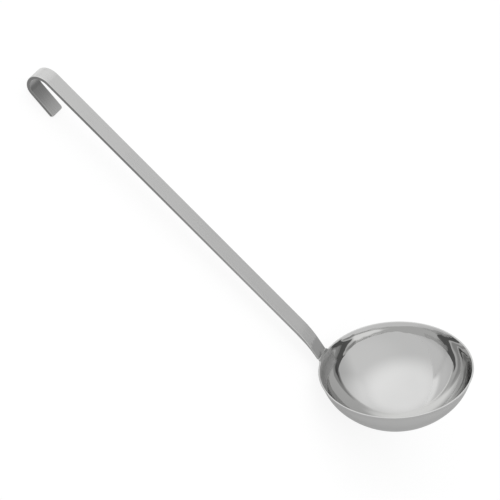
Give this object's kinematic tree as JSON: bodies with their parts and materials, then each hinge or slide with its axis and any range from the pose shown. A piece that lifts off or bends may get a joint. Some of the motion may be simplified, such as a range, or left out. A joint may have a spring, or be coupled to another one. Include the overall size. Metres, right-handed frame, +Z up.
{
  "type": "soup ladle",
  "caption": "Stainless steel soup ladle with a deep round bowl, slightly flared at its lip, and a long flat strap handle that ends in a hanging hook, lying at rest.",
  "frame": {"origin": "centre of the bounding box's base, on the table that the ladle lies on", "axes": "+Z up from the table, +X from the hook towards the bowl, Y across the strap, with the ladle symmetric about Y = 0"},
  "size_m": [0.4036, 0.1194, 0.0929],
  "materials": {
    "bowl_steel": "stainless steel, mirror polished inside and bright polished outside",
    "weld_steel": "stainless steel weld, ground flush and polished",
    "strap_steel": "stainless steel, fine satin, with bright rounded edges"
  },
  "bodies": {
    "root": {"bowl": "bowl_steel", "weld_seam": "weld_steel", "handle": "strap_steel"}
  },
  "joints": []
}
